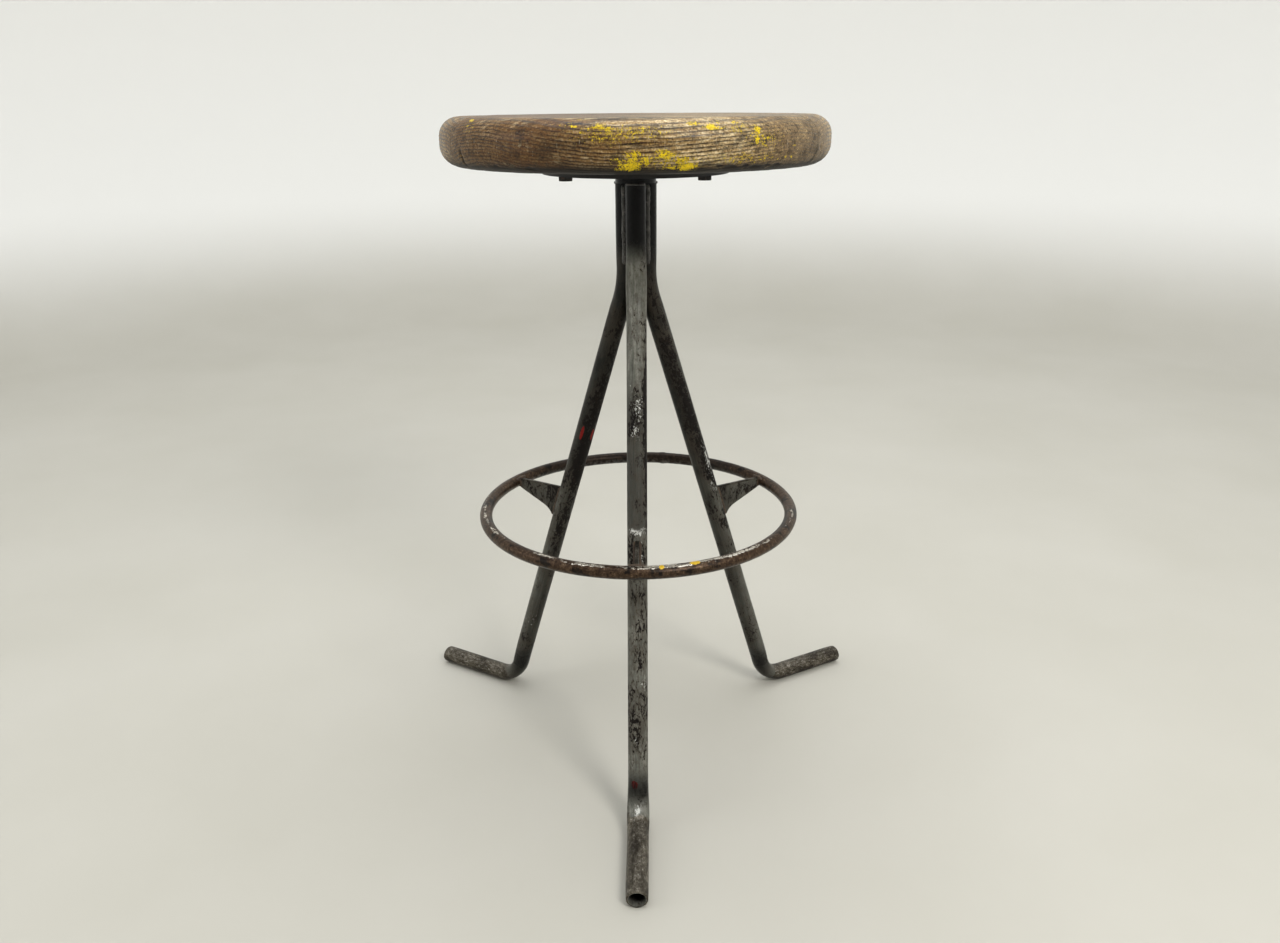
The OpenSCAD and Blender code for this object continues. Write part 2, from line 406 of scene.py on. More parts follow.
def bar_look():
    """The bar: brown rusty steel, rubbed bright where feet rest, with a painted highlight along its top and
    painted shade at its back. Fields: rub, yellow, grey, back.
    """
    k = Look("bare_bar")
    at = k.object()
    mid = k.noise(at, 60, 5, 0.6)
    fine = k.noise(at, 260, 8, 0.7, 0.4)
    grit = k.noise(at, 1000, 4, 0.6)
    rust = k.ramp(
        k.sum((fine, 0.6), (grit, 0.4)),
        (0.34, (26, 17, 11)), (0.47, (58, 43, 31)), (0.57, (88, 69, 52)), (0.70, (150, 128, 104)),
    )
    rust = k.mix(k.step(mid, 0.52, 0.64, 0.0, 0.9), rust, srgb(14, 10, 8))
    # painted shade: the back of the ring darkened to near black
    rust = k.mix(k.mul(k.field("back"), 0.75), rust, srgb(20, 16, 13))
    rust = k.mix(k.mul(k.field("grey"), k.step(fine, 0.42, 0.6)), rust, srgb(92, 91, 88))
    bright = k.ramp(grit, (0.38, (150, 138, 120)), (0.56, (240, 234, 220)))
    # rubbed bright metal, plus a painted highlight: a pale line along the bar's top, strongest at the front
    rub = k.add(k.mul(k.field("rub"), 0.5), k.sum((fine, 0.7), (mid, 0.3)))
    rub = k.step(rub, 0.84, 0.92)
    colour = k.mix(rub, rust, bright)
    yellow = k.step(k.add(k.field("yellow"), k.mul(fine, 0.8)), 0.98, 1.06)
    colour = k.mix(yellow, colour, srgb(214, 176, 48))
    metal = k.mul(k.add(k.mul(rub, 0.2), 0.6), k.math("SUBTRACT", 1.0, yellow))
    rough = k.lerp(rub, k.lerp(grit, 0.3, 0.46), 0.26)
    height = k.sum((fine, 1.0), (grit, 0.3), (yellow, 0.5))
    normal = k.bump(height, 0.0003, 0.7)
    k.set(Base_Color=colour, Roughness=rough, Metallic=metal, Normal=normal, Specular_IOR_Level=0.3)
    return k.material


def weld_look(name, low, high, rough=0.42):
    k = Look(name)
    at = k.object()
    mid = k.noise(at, 140, 5, 0.6)
    grit = k.noise(at, 800, 5, 0.65)
    tone = k.sum((mid, 0.55), (grit, 0.45))
    middle = [(a + b) // 2 for a, b in zip(low, high)]
    colour = k.ramp(tone, (0.32, low), (0.56, middle), (0.74, high))
    k.set(
        Base_Color=colour,
        Metallic=0.35,
        Roughness=k.lerp(grit, rough, rough + 0.28),
        Normal=k.bump(k.add(k.mul(mid, 0.6), grit), 0.0002, 0.7),
    )
    return k.material


def steel_look(name, low, mid_tone, high, metallic, rough, rust=0.0, scale=1.0, ring=0.0):
    """Plain steel parts: mottled, with rust freckles and, if asked, turned rings."""
    k = Look(name)
    at = k.object()
    mid = k.noise(at, 45 * scale, 5, 0.6)
    fine = k.noise(at, 240 * scale, 7, 0.65)
    grit = k.noise(at, 1100, 4, 0.6)
    colour = k.ramp(
        k.sum((mid, 0.45), (fine, 0.35), (grit, 0.2)),
        (0.34, low), (0.52, mid_tone), (0.70, high),
    )
    freckle = k.step(k.sum((fine, 0.7), (mid, 0.3)), 0.60 - 0.12 * rust, 0.72 - 0.12 * rust)
    colour = k.mix(k.mul(freckle, min(1.0, 0.25 + rust)), colour, srgb(84, 56, 36))
    height = k.add(fine, k.mul(grit, 0.4))
    if ring:
        parts = k.node("SeparateXYZ", {0: at})
        rad = k.math("SQRT", k.add(k.mul(parts.outputs[0], parts.outputs[0]),
                                   k.mul(parts.outputs[1], parts.outputs[1])))
        height = k.add(height, k.mul(k.math("SINE", k.mul(rad, ring)), 0.25))
    k.set(
        Base_Color=colour,
        Metallic=k.lerp(freckle, metallic, metallic * 0.4),
        Roughness=k.lerp(freckle, k.lerp(grit, rough, rough + 0.16), 0.75),
        Normal=k.bump(height, 0.00018, 0.6),
    )
    return k.material


def wood_look():
    """Weathered pine: raised late wood, fibres and pores along the boards, flecks of yellow paint."""
    k = Look("seat_wood")
    at = k.object()
    fibre = k.noise(k.scaled(at, (26, 400, 400)), 1.0, 7, 0.7, 0.3)
    fine = k.noise(k.scaled(at, (75, 800, 800)), 1.0, 5, 0.7)
    patch = k.noise(k.scaled(at, (9, 20, 20)), 1.0, 4, 0.55)
    mid = k.noise(k.scaled(at, (60, 130, 130)), 1.0, 6, 0.66)
    grit = k.noise(at, 620, 6, 0.75)
    fleck = k.add(k.mul(k.noise(at, 300, 8, 0.76, 0.6), 0.5), k.mul(k.noise(at, 800, 5, 0.75), 0.5))
    wave = k.noise(k.scaled(at, (12, 60, 60)), 1.0, 3, 0.5)
    dash = k.step(k.noise(k.scaled(at, (34, 240, 240)), 1.0, 6, 0.7), 0.38, 0.60)
    phase = k.add(k.field("rings"), k.sum((fibre, 0.4), (wave, 0.9)))
    turn = k.math("FRACT", phase)
    late = k.mul(k.step(turn, 0.40, 0.74), k.step(turn, 1.0, 0.93))
    worn = k.mul(late, k.mul(k.lerp(dash, 0.5, 1.0), k.step(patch, 0.32, 0.56, 0.55, 1.0)))
    early = k.ramp(
        k.sum((patch, 0.25), (fibre, 0.4), (grit, 0.35)),
        (0.38, (40, 22, 7)), (0.46, (108, 78, 40)), (0.53, (170, 140, 90)), (0.61, (246, 224, 178)),
    )
    dark = k.ramp(k.sum((fibre, 0.5), (grit, 0.5)), (0.42, (8, 4, 1)), (0.60, (56, 36, 18)))
    early = k.mix(k.mul(k.field("brown"), 0.62), early, srgb(96, 60, 26))
    colour = k.mix(k.mul(worn, 0.95), early, dark)
    colour = k.mix(k.mul(k.field("tone"), 0.26), colour, srgb(160, 148, 122))
    colour = k.mix(k.step(fine, 0.54, 0.62, 0.0, 0.8), colour, srgb(12, 6, 2))
    stain = k.step(k.sum((mid, 0.6), (fibre, 0.4)), 0.50, 0.60, 0.0, 0.75)
    colour = k.mix(stain, colour, srgb(32, 19, 8))
    scratch = k.step(k.noise(k.scaled(at, (900, 900, 70)), 1.0, 5, 0.7, 0.8), 0.62, 0.68, 0.0, 0.6)
    colour = k.mix(scratch, colour, srgb(206, 190, 160))
    pale = k.mul(k.field("pale"), k.step(k.add(fibre, k.mul(grit, 0.5)), 0.70, 0.84))
    colour = k.mix(pale, colour, srgb(206, 184, 142))
    # grime and painted shade: near black along the rim's lower edge, which faces down; darker in the
    # knocks; dark joints and patches of grime
    grime = k.mul(k.field("grime"), k.step(k.sum((mid, 0.5), (fibre, 0.5)), 0.30, 0.48))
    grime = k.math("MINIMUM", grime, 0.96)
    colour = k.mix(grime, colour, srgb(15, 9, 4))
    paint = k.add(k.mul(k.field("yellow"), 0.5), k.math("MULTIPLY_ADD", fleck, 2.2, -0.6))
    paint = k.step(k.math("SUBTRACT", paint, k.mul(worn, 0.05)), 0.855, 0.875)
    gold = k.ramp(k.sum((grit, 0.6), (mid, 0.4)), (0.38, (140, 112, 10)), (0.54, (240, 208, 24)))
    colour = k.mix(paint, colour, gold)
    rough = k.lerp(worn, k.lerp(fibre, 0.36, 0.56), 0.36)
    height = k.sum((worn, 0.6), (fibre, 0.6), (grit, 0.35))
    height = k.add(height, k.mul(paint, 0.4))
    k.set(
        Base_Color=colour,
        Roughness=k.lerp(grime, rough, 0.7),
        Normal=k.bump(height, 0.0004, 0.8),
        Coat_Weight=0.16,
        Coat_Roughness=0.2,
        Specular_IOR_Level=0.2,
    )
    return k.material


def rubber_look():
    k = Look("packing_rubber")
    at = k.object()
    mid, grit = k.noise(at, 60, 5, 0.6), k.noise(at, 900, 4, 0.6)
    colour = k.ramp(k.sum((mid, 0.6), (grit, 0.4)), (0.35, (12, 10, 9)), (0.65, (40, 34, 29)))
    k.set(Base_Color=colour, Roughness=k.lerp(mid, 0.6, 0.85), Normal=k.bump(grit, 0.0002, 0.6))
    return k.material


PAINT = painted_look("leg_paint", "flow")
# the head ring painted near black: painted shade under the seat
PAINT_PLAIN = painted_look("leg_paint_head", black=1.4)
BAR = bar_look()
WOOD = wood_look()
RUBBER = rubber_look()
# near black, painting the shade under the seat onto the plate and the boss
BLACK = steel_look("black_plate", (3, 3, 3), (11, 10, 9), (34, 28, 24), 0.1, 0.42, rust=0.1)
SCREWS = steel_look("screw_heads", (6, 5, 5), (22, 18, 15), (70, 60, 50), 0.3, 0.40, rust=0.6, scale=1.6)
OILED = steel_look(
    "oiled_steel", (52, 48, 42), (96, 91, 83), (150, 145, 136), 0.9, 0.26, rust=0.1, ring=9000.0
)
TUBE = steel_look("nut_tube_steel", (30, 24, 20), (62, 52, 44), (104, 92, 80), 0.6, 0.42, rust=0.5)
WELD_DARK = weld_look("weld_dark", (4, 4, 4), (150, 147, 140), 0.18)
WELD_RUST = weld_look("weld_rust", (34, 24, 17), (138, 118, 98))

# ---- seat boards

RIM_ARC = EDGE_R * math.pi / 2
RIM_FLAT = SEAT_TOP - SEAT_LOW - 2 * EDGE_R
RIM_LEN = 2 * RIM_ARC + RIM_FLAT
CORE_R = SEAT_R - EDGE_R
ARC_TOP, ARC_LOW = SEAT_TOP - EDGE_R, SEAT_LOW + EDGE_R


def rim_point(s):
    """(radius, height) at s mm round the edge from the flat top."""
    if s <= 0:
        return CORE_R + s, SEAT_TOP
    if s < RIM_ARC:
        a = s / EDGE_R
        return CORE_R + EDGE_R * math.sin(a), ARC_TOP + EDGE_R * math.cos(a)
    if s < RIM_ARC + RIM_FLAT:
        return SEAT_R, ARC_TOP - (s - RIM_ARC)
    if s < RIM_LEN:
        a = (s - RIM_ARC - RIM_FLAT) / EDGE_R
        return CORE_R + EDGE_R * math.cos(a), ARC_LOW - EDGE_R * math.sin(a)
    return CORE_R - (s - RIM_LEN), SEAT_LOW


def seat_shell():
    """The whole seat as one closed skin, in rings of points from the top's centre to the underside's."""
    rings = []
    for r in np.arange(1.5, CORE_R, 1.5):
        n = 720 if r > 90 else 360 if r > 45 else 180 if r > 20 else 90 if r > 8 else 45
        rings.append((r, SEAT_TOP, n))
    for s in np.linspace(0, RIM_LEN, 118):
        rings.append((*rim_point(s), 720))
    for r in np.arange(CORE_R - 3.5, 3, -3.5):
        n = 720 if r > 120 else 360 if r > 60 else 180 if r > 30 else 90 if r > 12 else 45
        rings.append((r, SEAT_LOW, n))
    verts, faces, starts = [(0, 0, SEAT_TOP)], [], []
    for r, z, n in rings:
        starts.append(len(verts))
        t = np.arange(n) * TAU / n
        verts.extend(zip(r * np.cos(t), r * np.sin(t), [z] * n))
    verts.append((0, 0, SEAT_LOW))
    n = rings[0][2]
    faces += [(0, starts[0] + j, starts[0] + (j + 1) % n) for j in range(n)]
    for (ra, za, na), (rb, zb, nb), a, b in zip(rings, rings[1:], starts, starts[1:]):
        for j in range(min(na, nb)):
            if na == nb:
                k = (j + 1) % na
                faces.append((a + j, b + j, b + k, a + k))
            elif nb == 2 * na:
                k = (j + 1) % na
                faces.append((a + j, b + 2 * j, b + 2 * j + 1))
                faces.append((a + j, b + 2 * j + 1, b + (2 * j + 2) % nb, a + k))
            else:
                k = (j + 1) % nb
                faces.append((b + j, a + 2 * j + 1, a + 2 * j))
                faces.append((b + j, b + k, a + (2 * j + 2) % na, a + 2 * j + 1))
    n, last = rings[-1][2], len(verts) - 1
    faces += [(last, starts[-1] + (j + 1) % n, starts[-1] + j) for j in range(n)]
    return make_mesh("seat_shell", verts, faces)


def rim_place(co):
    """Azimuth from the front towards the right in degrees, and s, for points on the seat's skin."""
    r = np.hypot(co[:, 0], co[:, 1])
    az = np.degrees(np.arctan2(co[:, 0], -co[:, 1]))
    z = co[:, 2]
    up = np.arctan2(r - CORE_R, z - ARC_TOP) * EDGE_R
    down = RIM_ARC + RIM_FLAT + np.arctan2(ARC_LOW - z, np.maximum(r - CORE_R, 1e-6)) * EDGE_R
    s = np.where(z <= ARC_LOW, down, RIM_ARC + SEAT_TOP - EDGE_R - z)
    s = np.where(z >= ARC_TOP, up, s)
    flat_top = (r <= CORE_R) & (z > ARC_TOP)
    flat_low = (r <= CORE_R) & (z < ARC_LOW)
    s = np.where(flat_top, r - CORE_R, np.where(flat_low, RIM_LEN + CORE_R - r, s))
    return az, s


def inward(co):
    """Unit vectors into the wood from the seat's skin."""
    r = np.maximum(np.hypot(co[:, 0], co[:, 1]), 1e-9)
    z = co[:, 2]
    out_r = np.maximum(r - CORE_R, 0)
    out_z = np.where(z > ARC_TOP, z - ARC_TOP, np.minimum(z - ARC_LOW, 0))
    size = np.maximum(np.hypot(out_r, out_z), 1e-9)
    return -np.stack([out_r / size * co[:, 0] / r, out_r / size * co[:, 1] / r, out_z / size], 1)


# yellow paint on the edge: azimuth, s, half width in degrees, half height in mm, strength
YELLOW = [
    (-52, 10.5, 1.6, 2.4, 1.15), (-50, 18, 4, 8, 0.5), (-17, 15, 4.5, 4.5, 0.56),
    (-15.2, 17.5, 1.1, 1.5, 0.95), (-13, 8, 3.2, 1.6, 0.62), (-8.2, 18, 2.4, 4.2, 0.98),
    (-6, 20, 2, 3.8, 0.95), (-2, 24, 16, 10, 0.62), (0.5, 20, 5.5, 3.6, 0.64), (15.6, 15, 1.6, 3, 0.95),
    (20.4, 19, 2.6, 3.4, 1.15), (26, 15, 5, 4, 0.6), (29.5, 20, 1.5, 4.2, 0.6), (33.6, 23, 1.3, 6, 1.1),
    (33.2, 31, 1, 5, 1), (36, 30, 9, 12, 0.58), (0.3, 43, 2.4, 6, 0.95), (-0.3, 51, 3.2, 5.5, 1.15),
    (3.6, 46, 2.4, 6, 0.9), (-1.5, 55, 3.4, 3, 1.05), (8.5, 42, 3.2, 5, 0.92), (7, 38.5, 2, 2, 0.9),
    (12.6, 47, 2.8, 5, 0.95), (14, 53, 3, 4.6, 1.15), (10, 54, 3.4, 2.4, 0.9), (8, 47, 14, 9, 0.68),
    (30, 46, 14, 7, 0.64), (-6, 28, 7, 8, 0.6), (-9, 21, 3, 4, 0.7), (28, 20, 5, 6, 0.66),
    (33, 26, 3, 6, 0.68), (22, 13, 3, 2, 0.66), (-3, 47, 3, 7, 0.68), (44, 46.5, 0.9, 1.2, 0.85),
    (46.5, 46.5, 0.9, 1.2, 0.8), (47, 37, 0.9, 1.1, 0.75),
]
# knocks in the edge: azimuth, s, half width in degrees, half height, depth in mm
NICKS = [
    (-54, 45, 0.36, 4.5, 1.6), (-54.6, 52, 0.36, 4, 1.6), (23, 53, 1.2, 1.6, 0.8),
    (26.5, 55, 1.5, 2, 1.2), (31, 54, 0.9, 2.2, 1), (34.5, 56, 1.8, 1.8, 1.3),
    (38.5, 55.5, 1.1, 2.2, 1.1), (42.5, 54.5, 1.5, 1.6, 0.9), (-28, 56, 1.6, 1.8, 0.9),
    (-40, 54, 1, 2, 0.7), (4, 6, 2.4, 3, 0.5), (-14.5, 6, 3.2, 3, 0.6), (31.5, 9, 2.6, 2.6, 0.5),
    (63, 40, 0.8, 3, 0.7),
]
# pale, rubbed wood on the edge, in the same terms as YELLOW
PALE = [(-14.5, 5, 5, 2.2, 1), (31.5, 8.5, 3, 2.4, 0.9), (6, 4, 8, 2, 0.5), (-36, 8, 4, 2, 0.5)]

rng = np.random.default_rng(41)
SIDES = (70, 290)  # the azimuths round the back that the lists above leave bare


def scattered(*ranges):
    return tuple(rng.uniform(*r) for r in (SIDES, *ranges))


YELLOW += [scattered((8, 56), (0.6, 2.2), (1.0, 4.0), (0.45, 0.85)) for _ in range(26)]
NICKS += [scattered((2, 58), (0.6, 1.8), (1.2, 3.0), (0.3, 1.0)) for _ in range(16)]
PALE += [scattered((2, 14), (2, 6), (1.5, 3), (0.5, 1.0)) for _ in range(7)]

# each board: pith's offset from its middle along y, pith's depth below (or above) the seat, ring width
GRAIN = {
    "seat_board_front": (14.0, -150.0, 2.9),
    "seat_board_mid_front": (-10.0, -138.0, 3.3),
    "seat_board_mid_rear": (8.0, 160.0, 3.7),
    "seat_board_rear": (-16.0, -132.0, 3.4),
}
GAP = 0.05  # half the joint between two boards


def wrapped(az):
    return np.where(az < -110, az + 360, az)


def ring_phase(co, node, y_mid):
    off, depth, width = GRAIN[node]
    d = np.hypot(co[:, 1] - (y_mid + off), co[:, 2] - (SEAT_LOW + depth if depth < 0 else SEAT_TOP + depth))
    seed = list(GRAIN).index(node) * 10
    sway = 5.0 * fbm(co * (0.004, 0.012, 0.012), seed, 3) + 1.3 * fbm(co * (0.012, 0.05, 0.05), seed + 5, 3)
    return (d + sway) / width


def board(node, shell):
    lo, hi = (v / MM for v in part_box(node))
    y0, y1 = lo[1], hi[1]
    inner0, inner1 = y0 > -SEAT_R + 1, y1 < SEAT_R - 1
    bm = bmesh.new()
    bm.from_mesh(shell)

    def cut(y, keep=0):
        geom = bm.verts[:] + bm.edges[:] + bm.faces[:]
        bmesh.ops.bisect_plane(
            bm, geom=geom, dist=1e-7, plane_co=(0, y * MM, 0), plane_no=(0, 1, 0),
            clear_inner=keep > 0, clear_outer=keep < 0,
        )
        if keep:
            rim = [e for e in bm.edges if e.is_boundary]
            bmesh.ops.contextual_create(bm, geom=rim)

    for y, sign, wanted in ((y0, 1, inner0), (y1, -1, inner1)):
        if wanted:
            cut(y + sign * 1.3)
            cut(y + sign * 0.55)
            cut(y + sign * GAP, sign)
    mesh = bpy.data.meshes.new(node + "_wood")
    bm.to_mesh(mesh)
    bm.free()
    co = coords(mesh)
    az, s = rim_place(co)
    far = wrapped(az)
    seed = list(GRAIN).index(node)
    phase = ring_phase(co, node, (y0 + y1) / 2)
    turn = phase - np.floor(phase)
    late = smooth(turn, 0.3, 0.86) * (1 - smooth(turn, 0.93, 1.0))
    rim = smooth(s, -30, 4) * (1 - smooth(s, RIM_LEN - 4, RIM_LEN + 10))
    depth = (1 - late) * (0.05 + 0.09 * rim)
    depth += 0.22 * (0.5 + 0.5 * fbm(co * (0.02, 0.03, 0.03), 60, 3))
    depth += 0.10 * np.maximum(fbm(co * (0.06, 0.5, 0.5), 70, 3), 0) * rim
    depth += 0.35 * (1 - smooth(np.hypot(co[:, 0], co[:, 1] + 6), 60, 150)) * (s < 0)
    depth += 0.45 * smooth(s, -38, 2) * (1 - smooth(s, 2, 24))
    depth += blobs(far, s, NICKS) * (0.8 + 0.4 * fbm(co * 0.4, 80, 2))
    edge_d = np.minimum(co[:, 1] - y0 if inner0 else 99, y1 - co[:, 1] if inner1 else 99)
    depth += 0.10 * (1 - smooth(edge_d, 0.0, 1.25))
    set_coords(mesh, co + inward(co) * depth[:, None])
    rough_dirt = 0.5 + 0.5 * fbm(co * (0.03, 0.06, 0.06), 90, 3)
    thin = 1 - 0.6 * smooth(s + 14 * rough_dirt, RIM_LEN + 6, RIM_LEN + 34)
    # painted shade, partly grime, along the rim's lower, downward-facing edge
    grime = 1.3 * smooth(s, RIM_LEN - 25, RIM_LEN - 8) * thin
    # darker inside the knocks
    grime = grime + 0.9 * smooth(blobs(far, s, NICKS), 0.3, 0.9)
    grime = np.maximum(grime, 0.35 * (1 - smooth(edge_d, 0.2, 0.7)))
    grime += 0.5 * smooth(rough_dirt, 0.62, 0.9)
    top_speck = 0.5 + 0.5 * fbm(co * (0.035, 0.05, 0.05), 120, 3)
    yellow = np.maximum(blobs(far, s, YELLOW), 0.62 * smooth(top_speck, 0.66, 0.92) * (s < 4))
    rubbed = 0.45 * smooth(fbm(co * (0.02, 0.1, 0.1), 33, 3), 0.25, 0.6)
    across = -co[:, 0] + 60 * fbm(co * 0.012, 45, 3)
    add_fields(
        mesh,
        rings=phase,
        yellow=yellow,
        pale=np.maximum(blobs(far, s, PALE), rubbed),
        grime=np.clip(grime, 0, 1.2),
        tone=smooth(co[:, 0] + 60 * fbm(co * 0.012, 44, 3), 10, 190),
        brown=smooth(across, -30, 60) * (1 - 0.6 * smooth(across, 120, 190)),
    )
    make_piece(node + "_wood", mesh, "seat", WOOD, [node], sharp=50)


def make_seat():
    shell = seat_shell()
    for node in GRAIN:
        board(node, shell)
    bpy.data.meshes.remove(shell)


make_seat()

# ---- legs

U = np.array([math.sin(SLANT), -math.cos(SLANT)])  # down the slanting leg, in its plane
N = np.array([math.cos(SLANT), math.sin(SLANT)])  # from the leg outwards and up
BEND_TOP = BEND_Z + BEND_R * math.tan(SLANT / 2)
C1 = np.array([COLUMN_R + BEND_R, BEND_TOP])
P1 = C1 - BEND_R * N
TURN2 = math.pi / 2 - SLANT
P2 = np.array([FOOT_R, PIPE_R]) - FOOT_BEND_R * math.tan(TURN2 / 2) * U
C2 = P2 + FOOT_BEND_R * N
S1 = HEAD_LOW - BEND_TOP
S2 = S1 + BEND_R * SLANT
S3 = S2 + float(np.linalg.norm(P2 - P1))
S4 = S3 + FOOT_BEND_R * TURN2
S5 = S4 + TOE_R - C2[0]


def on_arc(centre, radius, a):
    c, si = math.cos(a), math.sin(a)
    return centre - radius * np.array([c, si]), np.array([si, -c])


def leg_line(s):
    """Centre and direction, in the leg's plane, s mm along it from the top."""
    if s < S1:
        return np.array([COLUMN_R, HEAD_LOW - s]), np.array([0, -1.0])
    if s < S2:
        return on_arc(C1, BEND_R, (s - S1) / BEND_R)
    if s < S3:
        return P1 + (s - S2) * U, U
    if s < S4:
        return on_arc(C2, FOOT_BEND_R, SLANT + (s - S3) / FOOT_BEND_R)
    return np.array([C2[0] + s - S4, PIPE_R]), np.array([1.0, 0.0])


def leg_place(x, z):
    """s along the leg and the offset from its centre line, for points in its plane."""
    s = HEAD_LOW - z
    d = x - COLUMN_R
    v = np.stack([x, z], 1)
    a = np.arctan2(C1[1] - z, C1[0] - x)
    on = (z < BEND_TOP) & (x < C1[0] + 20)
    s, d = np.where(on, S1 + BEND_R * a, s), np.where(on, BEND_R - np.hypot(*(v - C1).T), d)
    t = (v - P1) @ U
    on = (t > 0) & (z < BEND_TOP)
    s, d = np.where(on, S2 + t, s), np.where(on, (v - P1) @ N, d)
    w = v - C2
    a = np.arctan2(-w[:, 1], -w[:, 0]) - SLANT
    on = (t > S3 - S2) & (x <= C2[0])
    s, d = np.where(on, S3 + FOOT_BEND_R * a, s), np.where(on, FOOT_BEND_R - np.hypot(*w.T), d)
    on = (x > C2[0]) & (z < C2[1])
    return np.where(on, S4 + x - C2[0], s), np.where(on, z - PIPE_R, d)


def off_centre(co, s):
    """From the leg's centre line to each point."""
    mid = np.array([leg_line(min(max(v, 0), S5))[0] for v in s])
    return np.stack([co[:, 0] - mid[:, 0], co[:, 1], co[:, 2] - mid[:, 1]], 1)


def stations(end, *counts):
    """Places along the leg, with so many points on each of its five stretches."""
    ends = (0, S1, S2, S3, S4, end)
    return np.unique(np.concatenate([np.linspace(*v) for v in zip(ends, ends[1:], counts)]).round(4))


def leg_tube(seed):
    """A bent pipe with its wall, in the leg's plane: X out, Y across, Z up."""
    n = 64
    outer = stations(S5 - 1.6, 42, 22, 250, 44, 50)
    outer = np.append(outer, (S5 - np.array([1.2, 0.7, 0.25])).round(4))
    inner = stations(S5, 12, 14, 12, 22, 24)[::-1]
    theta = np.arange(n) * TAU / n
    verts = []

    def ring_at(s, radius, shift=0.0):
        c, t = leg_line(s)
        nrm = np.array([-t[1], t[0]])
        bend = math.exp(-(((s - (S3 + S4) / 2) / 24) ** 2))
        bend += 0.4 * math.exp(-(((s - (S1 + S2) / 2) / 22) ** 2))
        bend = max(bend, 0.4 * float(smooth(s, (S3 + S4) / 2, S4)))
        wide, flat = 1 + 0.125 * bend, 1 - 0.13 * bend
        a = radius * flat * np.cos(theta)
        b = radius * wide * np.sin(theta)
        ctr = c - nrm * PIPE_R * (1 - flat) * 0.9
        pts = np.stack([ctr[0] + a * nrm[0], b, ctr[1] + a * nrm[1]], 1)
        pts[:, 0] += shift * t[0]
        pts[:, 2] += shift * t[1]
        return pts

    for s in outer:
        near = max(0.0, 1 - (S5 - s) / 1.6)
        verts.append(ring_at(s, PIPE_R - 0.75 * near * near))
    for s in inner:
        near = max(0.0, 1 - (S5 - s) / 1.5)
        verts.append(ring_at(s, PIPE_R - WALL + 0.5 * near, -0.15 if s == S5 else 0.0))
    rows = len(verts)
    co = np.concatenate(verts)
    faces = grid_faces(rows, n, flip=True)
    last = (rows - 1) * n
    faces += [(last + j, last + (j + 1) % n, (j + 1) % n, j)[::-1] for j in range(n)]
    # dents and an uneven wall, and a toe worn unevenly by the floor
    s, d = leg_place(co[:, 0], co[:, 2])
    outside = (np.arange(len(co)) < len(outer) * n)
    q = np.stack([d, co[:, 1], s], 1)
    dent = 0.10 * np.maximum(fbm(q * (0.07, 0.07, 0.05), seed, 3), 0)
    dent = dent + 0.05 * np.abs(fbm(q * 0.25, seed + 9, 3))
    toe = smooth(s, S5 - 14, S5) * (0.25 + 0.5 * np.maximum(fbm(q * 0.16, seed + 20, 2), 0))
    dent = (dent + toe * 0.9) * outside
    away = off_centre(co, s)
    away /= np.maximum(np.linalg.norm(away, axis=1), 1e-9)[:, None]
    co = co - away * dent[:, None]
    ragged = smooth(s, S5 - 3, S5) * (0.25 * vnoise(q * 0.5, seed + 30) + 0.25) + 0.5 * smooth(s, S4, S5)
    co[:, 0] -= ragged
    mesh = closed_mesh("leg", co, faces)
    return mesh


def notch_cutter():
    n = 96
    t = np.arange(n) * TAU / n
    r = NOTCH_R / math.cos(math.pi / n)
    low = np.stack([r * np.cos(t), r * np.sin(t), np.full(n, NOTCH_LOW)], 1)
    high = low + (0, 0, HEAD_LOW + 20 - NOTCH_LOW)
    faces = grid_faces(2, n) + [tuple(range(n))[::-1], tuple(range(n, 2 * n))]
    o = bpy.data.objects.new("cutter", make_mesh("cutter", np.concatenate([low, high]), faces))
    outward(o.data)
    scene.collection.objects.link(o)
    return o


# worn places on each leg: height, half height, angle from the outer side, half angle, amount
WORN = {
    "front": [
        (425, 42, 62, 26, 2), (470, 26, 64, 24, 1.3), (362, 60, 70, 22, 1.5), (278, 18, -10, 90, 1.1),
        (418, 22, 0, 50, 1),
        (238, 6, -25, 20, 1.2), (330, 18, 30, 70, 0.3), (185, 40, 30, 70, 0.7), (122, 50, 0, 120, 0.8),
        (600, 40, 60, 40, 0.2), (500, 40, 170, 120, 0.3),
    ],
    "rear_right": [
        (470, 60, -100, 45, 1.1), (400, 50, -85, 50, 1.6), (330, 40, -65, 50, 1.6), (262, 26, 0, 150, 0.7),
        (180, 50, 180, 120, 0.35), (90, 30, -120, 120, 0.6), (350, 50, 60, 70, 0.4),
    ],
    "rear_left": [
        (440, 50, 165, 50, 1.2), (350, 70, 150, 60, 1.7), (275, 40, 140, 60, 1), (262, 26, 0, 120, 0.6),
        (150, 60, 120, 90, 0.2), (75, 20, 120, 140, 0.5), (400, 70, -20, 70, 0.4),
    ],
}
